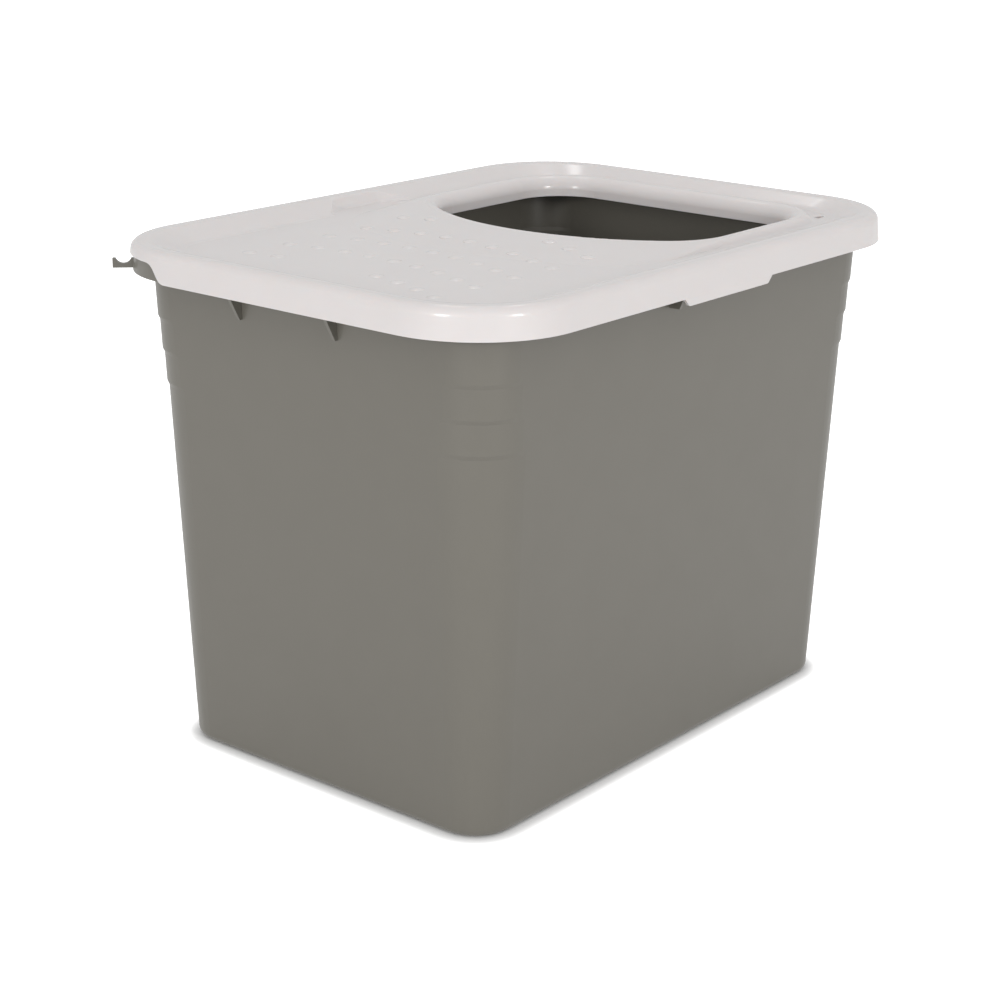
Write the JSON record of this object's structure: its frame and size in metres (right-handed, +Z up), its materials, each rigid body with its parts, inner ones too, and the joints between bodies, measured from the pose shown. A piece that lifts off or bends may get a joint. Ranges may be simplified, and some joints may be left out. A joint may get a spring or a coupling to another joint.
{
  "type": "top entry litter box",
  "caption": "Deep tapered plastic tub with a lift-off dished lid that has a large entry hole at one end, paw bumps on its deck and a scoop hook at one corner.",
  "frame": {"origin": "centre of the base, on the floor", "axes": "+X along the long side towards the entry hole, +Y across towards the side whose far corner carries the scoop hook, +Z up"},
  "size_m": [0.516, 0.378, 0.381],
  "materials": {
    "tub_plastic": "satin moulded plastic, warm taupe grey",
    "lid_plastic": "satin moulded plastic, warm pearl white"
  },
  "bodies": {
    "tub": {"tub": "tub_plastic"},
    "lid": {"lid": "lid_plastic"}
  },
  "joints": [
    {"name": "lid_lift", "type": "slide", "parent": "tub", "child": "lid", "axis": [0, 0, 1], "range_m": [0, 0.15]}
  ]
}
